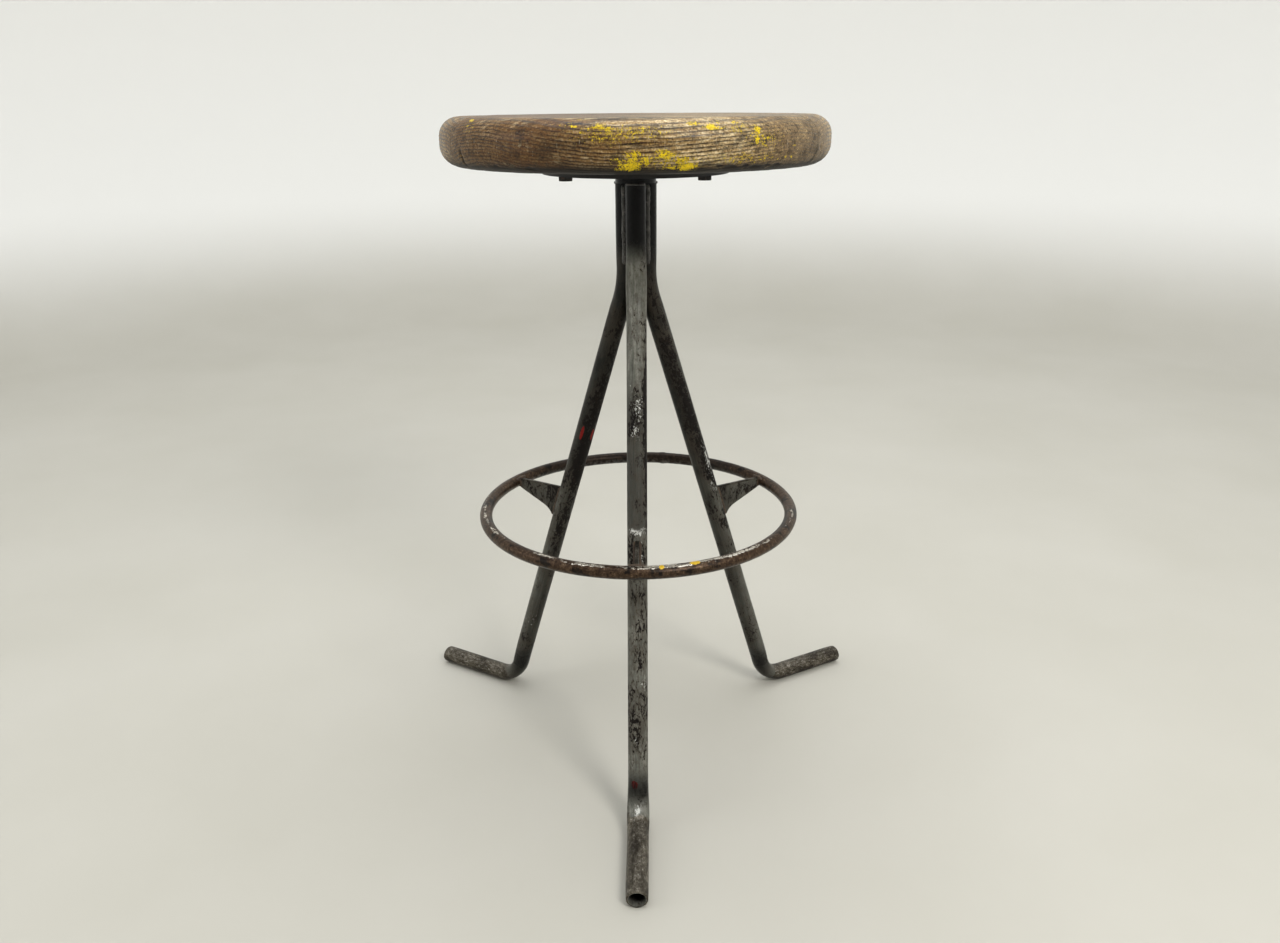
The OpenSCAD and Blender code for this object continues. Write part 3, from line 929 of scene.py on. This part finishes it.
# scuffs to bright primer, in the same terms as WORN; one front entry is a painted highlight
SCUFFS = {
    "front": [
        (426, 14, 10, 34, 0.95), (404, 10, -12, 30, 0.9), (440, 22, -30, 20, 0.6), (303, 4, 0, 80, 1.2),
        # (25, 6, 0, 24, 1.3) is a painted highlight on top of the front foot's bend, not a scuff
        (280, 14, 4, 34, 1.05), (25, 6, 0, 24, 1.3), (150, 12, 40, 60, 0.6), (96, 10, -30, 60, 0.5),
    ],
    "rear_right": [
        (335, 26, -62, 28, 1), (300, 12, -80, 30, 0.8), (200, 20, -110, 40, 0.5), (400, 14, 80, 50, 0.6),
    ],
    "rear_left": [
        (378, 9, 185, 20, 0.8), (230, 16, 100, 50, 0.5), (110, 12, 120, 60, 0.5), (330, 18, -40, 60, 0.6),
    ],
}
RED = {
    "front": [(50, 4.5, -22, 22, 1)],
    "rear_right": [(372, 1.5, 60, 12, 0.6)],
    "rear_left": [(371, 8.5, 100, 10, 1.1), (368, 7, 172, 10, 1.1), (340, 1.5, 20, 12, 0.7)],
}


def leg_spots(z, ang, spots):
    best = np.zeros(len(z))
    for cz, hz, ca, ha, amount in spots:
        da = wrap180(ang - ca)
        best = np.maximum(best, amount * np.exp(-0.7 * (((z - cz) / hz) ** 2 + (da / ha) ** 2)))
    return best


def make_leg(name, azimuth, seed, cutter):
    node = "leg_" + name
    mesh = leg_tube(seed)
    set_coords(mesh, turned(coords(mesh), azimuth))
    raw = bpy.data.objects.new("raw", mesh)
    scene.collection.objects.link(raw)
    mod = raw.modifiers.new("notch", "BOOLEAN")
    mod.operation, mod.solver, mod.object = "DIFFERENCE", "EXACT", cutter
    ready = raw.evaluated_get(bpy.context.evaluated_depsgraph_get())
    done = bpy.data.meshes.new_from_object(ready)
    bpy.data.objects.remove(raw)
    done.name = node + "_pipe"
    bm = bmesh.new()  # the Boolean leaves a few slivers along the notch
    bm.from_mesh(done)
    bmesh.ops.remove_doubles(bm, verts=bm.verts, dist=0.004 * MM)
    bmesh.ops.dissolve_degenerate(bm, edges=bm.edges, dist=0.002 * MM)
    bmesh.ops.triangulate(bm, faces=[f for f in bm.faces if len(f.verts) > 4])
    bm.to_mesh(done)
    bm.free()
    co = coords(done)
    local = turned(co, -azimuth)
    s, d = leg_place(local[:, 0], local[:, 2])
    z = local[:, 2]
    ang = np.degrees(np.arctan2(local[:, 1], d))
    normals = np.zeros(len(co) * 3, np.float32)
    done.vertex_normals.foreach_get("vector", normals)
    normals = turned(normals.reshape(-1, 3).astype(float), -azimuth)
    q = np.stack([d, local[:, 1], s + seed * 1000], 1)
    inside = (normals * off_centre(local, s)).sum(1) < 0
    low = 0.5 + 0.5 * fbm(q * 0.05, seed, 3)
    bare = smooth(s + 22 * (low - 0.5), S3 + 14, S3 + 38)
    patchy = 0.5 + 0.5 * fbm(q * (0.04, 0.04, 0.02), seed + 3, 3)
    wear = 0.56 * leg_spots(z, ang, WORN[name]) + 0.25 * smooth(patchy, 0.55, 0.85)
    # under runs from 0 on the leg's outer side to 1 on its inner side, for the painted shade below
    under = 0.5 - 0.5 * np.cos(np.radians(ang))
    # painted shade: black at the column's top under the seat, partly black paint there, and on the bore's
    # inner wall
    soot = smooth(z, 545, 612) + inside * 0.6 * (s < S4)
    # painted shade on each leg's inner side and all over the rear legs; also a darker band above the bar on
    # the front leg and darker, patchy upper parts on the rear legs
    if name == "front":
        dark = 0.12 + 0.5 * smooth(z, 292, 312) * (1 - smooth(z, 420, 470)) + 0.5 * smooth(under, 0.3, 1.0)
    else:
        dark = 0.40 + 0.36 * smooth(under, 0.15, 0.95) + 0.34 * smooth(z + 90 * low, 330, 400)
    dark = dark * (1 - 0.4 * bare)
    # blackened just above the foot bend
    soot = np.maximum(soot, 0.66 * np.exp(-(((s - S3 + 6) / 24) ** 2)))
    rim = 1.1 * smooth(s, S5 - 2.6, S5 - 0.6) * (1 - inside)
    add_fields(
        done,
        flow=q * MM,
        wear=wear,
        dark=dark,
        bare=np.where(inside, 0.3, bare),
        # painted shade deepest in the bore near the open toe
        soot=np.clip(soot + 0.75 * inside * smooth(s, S5, S5 - 12), 0, 1),
        scuff=np.maximum(leg_spots(z, ang, SCUFFS[name]), rim),
        red=leg_spots(z, ang, RED[name]),
    )
    make_piece(node + "_pipe", done, "base", PAINT, [node], sharp=42)


cutter = notch_cutter()
for i, (name, azimuth) in enumerate(LEGS.items()):
    make_leg(name, azimuth, 7 + i * 13, cutter)
bpy.data.objects.remove(cutter)

# ---- footrest ring


def make_ring():
    turns, n = 720, 40
    t, p = np.meshgrid(np.arange(turns) * TAU / turns, np.arange(n) * TAU / n, indexing="ij")
    t, p = t.ravel(), p.ravel()
    q = np.stack([RING_R * np.cos(t), RING_R * np.sin(t), RING_Z + 0 * t], 1)
    bar = np.stack([np.cos(p), np.sin(p), 0 * p], 1)
    lump = 0.12 * fbm(q * 0.03 + bar, 5, 3) - 0.12 + 0.10 * fbm(q * 0.35 + bar * 1.5, 6, 3)
    deg = np.degrees(t)
    butt = np.exp(-((wrap180(deg - 80) * RING_R * TAU / 360 / 3.2) ** 2))  # the bar's own joint
    lump += butt * (0.75 + 0.35 * vnoise(q * 0.5 + bar * 2, 8))
    r = BAR_R + lump
    far = RING_R + r * np.cos(p)
    co = np.stack([far * np.cos(t), far * np.sin(t), RING_Z + r * np.sin(p)], 1)
    last = (turns - 1) * n
    faces = grid_faces(turns, n)
    faces += [(last + j, last + (j + 1) % n, (j + 1) % n, j) for j in range(n)]
    mesh = closed_mesh("ring", co, faces)
    front = wrap180(deg + 90)  # 0 at the front, positive to the right
    up = np.degrees(p)
    rise = np.abs(wrap180(up - 75))
    patchy = 0.5 + 0.5 * fbm(q * 0.02, 15, 3)
    along = np.stack([q[:, 0] * 0.07, q[:, 1] * 0.07, 2.2 * bar[:, 0]], 1)
    streak = fbm(along + 1.7 * bar[:, [1, 0, 2]], 17, 4)
    # the rubbed band along the top also paints a highlight there, stronger towards the front
    forward = 0.50 + 0.30 * np.exp(-(((front - 4) / 60) ** 2))
    rub = (1 - smooth(rise, 6, 50)) * forward * (0.7 + 0.6 * patchy)
    rub += 0.5 * streak * (1 - smooth(rise, 20, 80))
    spots = [
        (8.2, 72, 1.0, 36, 1.0), (19.6, 84, 2.1, 30, 1.05), (23.5, 60, 0.8, 25, 0.6),
        (-128, 80, 1.2, 30, 0.6), (152, 60, 1.0, 30, 0.55),
    ]
    add_fields(
        mesh,
        rub=np.clip(rub, 0, 1),
        grey=smooth(np.abs(wrap180(up + 100)), 100, 30),
        # painted shade at the back of the ring
        back=smooth(np.abs(front) + 30 * (patchy - 0.5), 105, 150),
        yellow=blobs(front, up, spots),
    )
    make_piece("footrest_bar", mesh, "base", BAR, ["footrest_ring"])


make_ring()

# ---- gussets


def leg_axis(z):
    return COLUMN_R + (BEND_Z - z) * math.tan(SLANT)


def gusset_outline():
    face = PIPE_R / math.cos(SLANT)
    top = RING_Z + 5
    pts = [(leg_axis(top) + face - 0.6, top)]
    pts += [(x, top - 0.1 * math.sin((x - 108) / 9)) for x in np.arange(110, 163, 3.0)]
    pts += [(165.5, top - 0.5), (167.3, top - 1.6)]
    for a in np.radians((155, 180, 205, 228)):
        pts.append((RING_R + (BAR_R - 0.3) * math.cos(a), RING_Z + (BAR_R - 0.3) * math.sin(a)))
    a, b = np.array([166.5, RING_Z - 6.3]), np.array([132.0, 268.2])
    pts += [tuple(a + (b - a) * k) for k in np.linspace(0.06, 1, 14)]
    pts += [(128.2, 266.0), (125.2, 263.4), (122.8, 260.4), (121.4, 257.2)]
    pts.append((leg_axis(GUSSET_LOW) + face - 0.6, GUSSET_LOW))
    for z in np.arange(GUSSET_LOW + 5, top - 2, 5.0):
        pts.append((leg_axis(z) + face - 0.6, z))
    return np.array(pts)


def make_gusset(name, azimuth, seed):
    node = "gusset_" + name
    line = gusset_outline()
    m = len(line)
    wob = np.stack([line[:, 0], line[:, 1], np.full(m, seed * 7.0)], 1) * 0.22
    line = line + 0.16 * np.stack([vnoise(wob, seed), vnoise(wob, seed + 1)], 1)
    half = GUSSET_HALF
    bm = bmesh.new()
    ring = [bm.verts.new((x * MM, -half * MM, z * MM)) for x, z in line]
    face = bm.faces.new(ring)
    out = bmesh.ops.extrude_face_region(bm, geom=[face])
    moved = [v for v in out["geom"] if isinstance(v, bmesh.types.BMVert)]
    bmesh.ops.translate(bm, verts=moved, vec=(0, 2 * half * MM, 0))
    bmesh.ops.recalc_face_normals(bm, faces=bm.faces)
    edges = [e for e in bm.edges if len(e.link_faces) == 2 and e.calc_face_angle() > 1.0]
    bmesh.ops.bevel(bm, geom=edges, offset=0.55 * MM, segments=2, affect="EDGES", profile=0.6)
    big = [f for f in bm.faces if len(f.verts) > 12]
    bmesh.ops.inset_individual(bm, faces=big, thickness=1.6 * MM, depth=0)
    mesh = bpy.data.meshes.new(node + "_plate")
    bm.to_mesh(mesh)
    bm.free()
    co = coords(mesh)
    inside = (np.abs(co[:, 1]) > half - 0.05)
    top = smooth(co[:, 2], RING_Z + 3.2, RING_Z + 4.8)
    near_leg = smooth(co[:, 0], 130, 112)
    add_fields(
        mesh,
        flow=(co + (0, 0, seed * 1000)) * MM,
        wear=np.where(inside, 0.32, 0.55) + 0.25 * near_leg,
        bare=0.85 * top,
        # darkened all over the plate, most next to the leg, where it paints shade in the corner
        dark=0.5 + 0.3 * near_leg,
        soot=np.zeros(len(co)),
        scuff=0.5 * top,
        red=blobs(co[:, 0], co[:, 2], [(140, 288, 2.2, 1.6, 0.9)]) * (name == "rear_right"),
    )
    set_coords(mesh, turned(co, azimuth))
    make_piece(node + "_plate", mesh, "base", PAINT, [node], sharp=35)


for i, (name, azimuth) in enumerate(LEGS.items()):
    make_gusset(name, azimuth, 31 + i)

# ---- weld beads


def bead(name, points, radius, body, material, seed):
    """A lumpy, rippled weld along a line of points, tapering at both ends."""
    points = np.asarray(points, float)
    seg = np.linalg.norm(np.diff(points, axis=0), axis=1)
    at = np.concatenate([[0], np.cumsum(seg)])
    total = at[-1]
    rows = max(8, int(total / 0.45))
    s = np.linspace(0, total, rows)
    line = np.stack([np.interp(s, at, points[:, i]) for i in range(3)], 1)
    tan = np.gradient(line, axis=0)
    tan /= np.linalg.norm(tan, axis=1)[:, None]
    ref = np.array([0, 0, 1.0]) if abs(tan[0][2]) < 0.8 else np.array([1.0, 0, 0])
    n = 20
    th = np.arange(n) * TAU / n
    verts = []
    for i in range(rows):
        a = np.cross(tan[i], ref)
        a /= np.linalg.norm(a)
        b = np.cross(a, tan[i])
        end = min(s[i], total - s[i]) / (radius * 1.3)
        taper = math.sqrt(max(0.0, 1 - (1 - min(1.0, end)) ** 2)) * 0.98 + 0.02
        ripple = 0.10 * abs(math.sin(math.pi * s[i] / BEAD_PITCH + 0.8 * math.sin(s[i] * 0.7 + seed)))
        q = np.stack([np.cos(th) * 1.4, np.sin(th) * 1.4, np.full(n, s[i] * 0.55)], 1) + seed * 3.1
        rr = radius * taper * (0.90 + ripple + 0.16 * fbm(q, seed, 2))
        drift = 0.14 * radius * vnoise(np.array([[s[i] * 0.25, seed, 0.5]]), seed)[0]
        ring = line[i] + drift * a + (rr * np.cos(th))[:, None] * a
        verts.append(ring + (rr * np.sin(th))[:, None] * b)
    co = np.concatenate(verts)
    faces = grid_faces(rows, n)
    top, low = len(co), len(co) + 1
    co = np.concatenate([co, line[:1], line[-1:]])
    faces += [(top, (j + 1) % n, j) for j in range(n)]
    faces += [(low, (rows - 1) * n + j, (rows - 1) * n + (j + 1) % n) for j in range(n)]
    mesh = closed_mesh(name, co, faces)
    make_piece(name, mesh, body, material, sharp=60)


def polar(r, degrees, z):
    a = math.radians(degrees)
    return (r * math.cos(a), r * math.sin(a), z)


def make_welds():
    for i, az in enumerate((-30, -150, 90)):  # the grooves between the three pipes
        pts = []
        for z in np.linspace(HEAD_LOW - 1, 566, 24):
            pts.append(polar(13.9 + 0.2 * math.sin(z * 0.21 + i), az + 1.2 * math.sin(z * 0.13 + i * 2), z))
        bead(f"groove_weld_{i + 1}", pts, 2.7, "base", WELD_DARK, 50 + i)
    for i, az in enumerate(LEGS.values()):  # each pipe's top to the head ring
        r = PIPE_R - 0.2
        arc = np.radians(np.linspace(-62, 62, 19))
        pts = [(COLUMN_R + r * math.cos(a), r * math.sin(a), HEAD_LOW - 0.2) for a in arc]
        bead(f"head_weld_{i + 1}", turned(pts, az), 1.3, "base", WELD_DARK, 60 + i)
    face = PIPE_R / math.cos(SLANT)
    for i, (name, az) in enumerate(LEGS.items()):
        for side, letter in ((-1, "a"), (1, "b")):  # the gusset to the leg, then to the bar
            zs = np.linspace(GUSSET_LOW + 0.5, RING_Z + 4.4, 14)
            pts = turned([(leg_axis(z) + face - 0.3, side * 2.5, z) for z in zs], az)
            seed = 70 + i * 4 + side
            bead(f"gusset_weld_{name}_{letter}", pts, 2.1, "base", WELD_RUST, seed)
            r = BAR_R + 0.1
            arc = np.radians(np.linspace(-46, 52, 10))
            pts = [(RING_R - r * math.cos(a), side * 2.3, RING_Z + r * math.sin(a)) for a in arc]
            seed = 90 + i * 4 + side
            bead(f"ring_weld_{name}_{letter}", turned(pts, az), 1.5, "base", WELD_RUST, seed)
        r, pts = RING_R - 0.77 * BAR_R, []  # the gusset's top corner over the bar
        for y in np.linspace(-9, 9, 13):
            pts.append((r * math.cos(y / RING_R), y, RING_Z + 0.73 * BAR_R - 0.014 * y * y))
        bead(f"saddle_weld_{name}", turned(pts, az), 1.9, "base", WELD_RUST, 110 + i)
    pts = [polar(15.6, a, PLATE_LOW - 0.8) for a in np.linspace(-170, 168, 60)]  # boss to seat plate
    bead("boss_weld", pts, 1.3, "seat", WELD_DARK, 130)


make_welds()

# ---- threaded spindle


def make_spindle():
    lo, hi = span("spindle", 2)
    n = 72
    zs = np.concatenate([[lo, lo + 0.9], np.arange(lo + 1.4, hi - 4, 0.42), [hi - 0.5, hi]])
    t = np.arange(n) * TAU / n
    verts = []
    for z in zs:
        w = (z / THREAD_PITCH - t / TAU) % 1.0
        tooth = np.clip((0.5 - np.abs(w - 0.5)) * 6.0 - 0.9, 0, 1)
        live = smooth(z, lo + 1.0, lo + 3.0) * (1 - smooth(z, HEAD_LOW - 3, HEAD_LOW + 1))
        r = THREAD_CREST - (THREAD_CREST - THREAD_ROOT) * (1 - tooth) * live
        if z < lo + 0.5:
            r = r - 0.9
        verts.append(np.stack([r * np.cos(t), r * np.sin(t), np.full(n, z)], 1))
    co = np.concatenate(verts)
    faces = grid_faces(len(zs), n)
    faces += [tuple(range(n))[::-1], tuple(range((len(zs) - 1) * n, len(zs) * n))]
    mesh = closed_mesh("spindle_screw", co, faces)
    make_piece("spindle_screw", mesh, "seat", OILED, ["spindle"], sharp=30)


make_spindle()

# ---- CAD nodes that stay

# seat_plate, spindle_boss and column_head_ring come out near black: painted shade under the seat
KEPT = {
    "seat_packing": (RUBBER, 0.5), "seat_plate": (BLACK, 0.8), "seat_screw_left": (SCREWS, 0.9),
    "seat_screw_right": (SCREWS, 0.9), "seat_screw_rear": (SCREWS, 0.9), "spindle_boss": (BLACK, 0.4),
    "thrust_washer": (OILED, 0.3), "column_head_ring": (PAINT_PLAIN, 0.35), "spindle_nut_tube": (TUBE, 0.4),
    "stop_washer": (OILED, 0.4), "spring_pin": (OILED, 0.3),
}
for node, (material, width) in KEPT.items():
    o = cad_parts[node]
    for s in o.material_slots:
        s.material = material
    mod = o.modifiers.new("edges", "BEVEL")
    mod.width, mod.segments, mod.limit_method = width * MM, 2, "ANGLE"
    mod.angle_limit = math.radians(35)

# ---- floor and light


def make_floor():
    """A plain pale floor that curves up far away all round, and isn't there from below."""
    k = Look("floor")
    at = k.object()
    parts = k.node("SeparateXYZ", {0: at})
    pale = k.ramp(k.noise(at, 3.0, 4, 0.5), (0.3, (188, 185, 174)), (0.7, (193, 190, 180)))
    wall = k.mix(k.step(parts.outputs[1], -3.4, -1.5, 1.0, 0.0), srgb(244, 243, 239), srgb(186, 185, 181))
    colour = k.mix(k.step(parts.outputs[2], 0.0, 0.4), pale, wall)
    k.set(Base_Color=colour, Roughness=0.75)
    clear = k.node("BsdfTransparent")
    behind = k.node("NewGeometry").outputs["Backfacing"]
    both = k.node("MixShader", {0: behind, 1: k.shader.outputs[0], 2: clear.outputs[0]})
    k.tree.links.new(both.outputs[0], k.tree.nodes["Material Output"].inputs[0])
    n = 96
    rings = [(0.4, 0.0), (1.2, 0.0), (FLOOR_R, 0.0)]
    for a in np.radians(np.linspace(10, 90, 9)):
        rings.append((FLOOR_R + COVE_R * math.sin(a), COVE_R - COVE_R * math.cos(a)))
    rings.append((FLOOR_R + COVE_R, WALL_TOP))
    t = np.arange(n) * TAU / n
    verts = [(0, 0, 0)]
    for r, z in rings:
        verts.extend(zip(r * np.cos(t), r * np.sin(t), [z] * n))
    faces = [(0, 1 + j, 1 + (j + 1) % n) for j in range(n)] + grid_faces(len(rings), n, 1, flip=True)
    mesh = make_mesh("floor", np.array(verts) / MM, faces)
    mesh.shade_smooth()
    mesh.materials.append(k.material)
    o = bpy.data.objects.new("floor", mesh)
    scene.collection.objects.link(o)


def area_light(name, at, aim, size, power, colour):
    data = bpy.data.lights.new(name, "AREA")
    data.shape, data.size, data.energy, data.color = "DISK", size, power, colour
    o = bpy.data.objects.new(name, data)
    scene.collection.objects.link(o)
    o.location = at
    o.rotation_euler = (Vector(aim) - Vector(at)).to_track_quat("-Z", "Y").to_euler()


make_floor()
area_light("key", (1.25, -1.85, 2.1), (0, 0, 0.4), 0.9, 40, (1.0, 0.985, 0.96))
area_light("top", (0.1, 0.35, 3.0), (0, 0.35, 0), 2.6, 50, (0.97, 0.985, 1.0))
area_light("fill", (-2.2, -0.7, 1.3), (0, 0, 0.4), 1.2, 7, (0.95, 0.98, 1.0))
world = bpy.data.worlds.new("studio")
scene.world = world
world.use_nodes = True
sky = world.node_tree.nodes["Background"]
sky.inputs[0].default_value = (0.94, 0.97, 1.0, 1.0)
sky.inputs[1].default_value = 0.62
